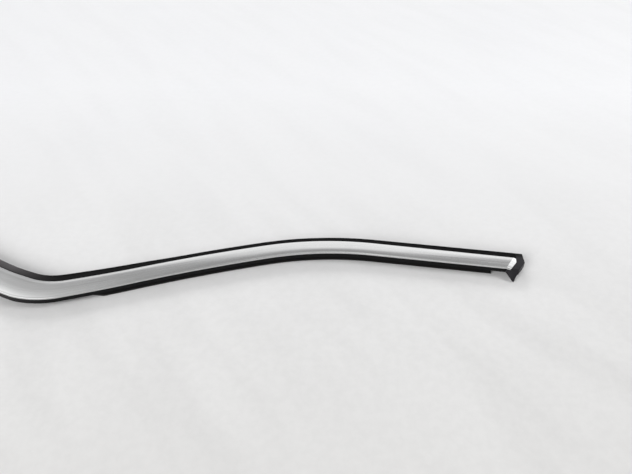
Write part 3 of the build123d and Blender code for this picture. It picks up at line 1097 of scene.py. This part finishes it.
# Painted light falloff: the colour is darker near by and paler far away, as well as warmer and
# cooler.
pale = blend_colour(tree, depth, (0.672, 0.668, 0.662), (0.866, 0.87, 0.886))
# Broad folds: their light and shade are painted into the colour, and the same noise makes the bump
# below.
folds = noise(tree, where, scale=5.0, detail=3.0, roughness=0.45)
pale = blend_colour(tree, spread(tree, folds, 0.3, 0.7, 0.0, 0.15), pale, (0.9, 0.898, 0.895))

# Slanting creases: painted shade, in thin darker bands.
crease_along = times(tree, vector_calc(tree, "DOT_PRODUCT", where, (0.58, -0.81, 0)), 5.0)
crease_across = times(tree, vector_calc(tree, "DOT_PRODUCT", where, (0.81, 0.58, 0)), 22.0)
crease_shade = noise(tree, join_vector(tree, crease_along, crease_across, 2.0), roughness=0.4)
crease_shade = spread(tree, crease_shade, 0.42, 0.66, 0.0, 0.15)
mottle = noise(tree, where, scale=105.0, roughness=0.6)
mottle = spread(tree, mottle, 0.36, 0.64, 0.0, 0.1)
nearness = spread(tree, depth, 0.2, 0.62, 1.0, 0.25)
# The painted crease shade and a random mottle of the cloth's own tone, stronger near by.
crease_shade_and_mottle = times(tree, total(tree, crease_shade, mottle), nearness)
pale = blend_colour(tree, crease_shade_and_mottle, pale, (0.5, 0.497, 0.492))
place_value(tree, sockets["Base Color"], pale)
place_value(tree, sockets["Normal"], raised(tree, folds, 0.25, 10 * MM))
floor.data.materials.append(cloth)
print("the cloth's finish has", len(tree.nodes), "nodes")

# %% [markdown]
# ## Camera
# The photograph was taken from 40 degrees above the cloth, straight across the strip and nearer
# to its front end. The distance follows from how fast the strip narrows in the picture. It
# could be found by eye, but a lens stated in pixels lets it be worked out. The picture keeps
# its plain tones, because a film-like curve would grey the pale cloth.

# %% Camera
picture_middle = Vector((0.1177734, 0.05506135, 0.0))  # the cloth's point at its middle
elevation = math.radians(40)
camera_distance = 0.750
lens_pixels, picture_width = 620, 632
cam_data = bpy.data.cameras.new("camera")
cam_data.sensor_width = 36
cam_data.lens = 36 * lens_pixels / picture_width
camera = put_in_scene("camera", cam_data)
behind, above = -camera_distance * math.cos(elevation), camera_distance * math.sin(elevation)
camera.location = picture_middle + Vector((0, behind, above))
camera.rotation_euler = (math.radians(90) - elevation, 0, 0)
bpy.context.scene.camera = camera
bpy.context.scene.view_settings.view_transform = "Standard"
print("camera at", [round(v, 3) for v in camera.location])

# %% [markdown]
# ## Surroundings
# What a satin strip shows is the room. Its glass side mirrors a window behind, whose top falls
# away to both sides, and the rest of the face mirrors a grey room, which gets lighter to the
# left, up to a bright wall. A patch high on the right lights the front end. An image of a room
# could be used, but a few soft-edged patches do the same and need no file. The cloth gets less
# of this light than the metal shows, so that the panels set its shadows.

# %% Surroundings
studio = bpy.data.worlds.new("studio")
bpy.context.scene.world = studio
studio.use_nodes = True
tree = studio.node_tree
direction = tree.nodes.new("ShaderNodeTexCoord").outputs["Generated"]
to_right, to_back, upwards = split_vector(tree, direction)

aside = calc(tree, "ABSOLUTE", calc(tree, "SUBTRACT", to_right, 0.03))
window_top = calc(tree, "SUBTRACT", 0.86, times(tree, aside, 1.15))
window_top = calc(tree, "MAXIMUM", window_top, 0.43)
over_top = calc(tree, "SUBTRACT", upwards, window_top)
at_back = spread(tree, to_back, 0.0, 0.3)
window = times(tree, spread(tree, over_top, -0.06, 0.06, 0.82, 0.0), at_back)

leftwards = vector_calc(tree, "DOT_PRODUCT", direction, (-0.925, -0.337, 0.174))
left_fade = spread(tree, leftwards, 0.17, 0.42, 0.0, 0.5)
left_wall = spread(tree, leftwards, 0.40, 0.55, 0.0, 0.65)
rightwards = vector_calc(tree, "DOT_PRODUCT", direction, (0.737, 0.385, 0.555))
right_patch = spread(tree, rightwards, 0.86, 0.95)

grey_room = spread(tree, to_right, -0.2, 0.1, 0.42, 0.47)
level = total(tree, grey_room, window, left_fade, left_wall, right_patch)
less_for_cloth = -0.7
on_cloth = tree.nodes.new("ShaderNodeLightPath").outputs["Is Diffuse Ray"]
on_cloth = total(tree, times(tree, on_cloth, less_for_cloth), 1.0)
background = tree.nodes["Background"]
background.inputs["Color"].default_value = (1, 1, 1, 1)
place_value(tree, background.inputs["Strength"], times(tree, level, on_cloth))
print("the surroundings have", len(tree.nodes), "nodes")

# %% [markdown]
# ## Panels
# Three large soft panels, far from the cloth, light it: in front on the left, on the right, and
# behind. Each throws its own soft shadow, and together they leave only a narrow dark line under
# the strip. Sun lamps would be simpler, but their shadows are harder. The metal doesn't mirror
# the panels, because it already mirrors the surroundings.

# %% Panels
def softbox(name, place, aim, size, power):
    """A rectangular soft panel aimed at a point. Power is in watts."""
    data = bpy.data.lights.new(name, "AREA")
    data.shape = "RECTANGLE"
    data.size, data.size_y = size
    data.energy = power
    lamp = put_in_scene(name, data)
    lamp.location = place
    lamp.rotation_euler = (Vector(aim) - Vector(place)).to_track_quat("-Z", "Y").to_euler()
    lamp.visible_glossy = False
    print(name, "at", place, "with", power, "watts")


softbox("left_panel", (-1.5, -2.0, 1.45), (-0.2, 0, 0), (1.4, 1.4), 61.0)
softbox("right_panel", (2.4, -0.15, 1.6), (0.2, -0.1, 0), (0.95, 0.95), 35.0)
softbox("back_panel", (-0.5, 2.7, 1.8), (-0.1, 0.4, 0), (1.8, 1.2), 34.0)
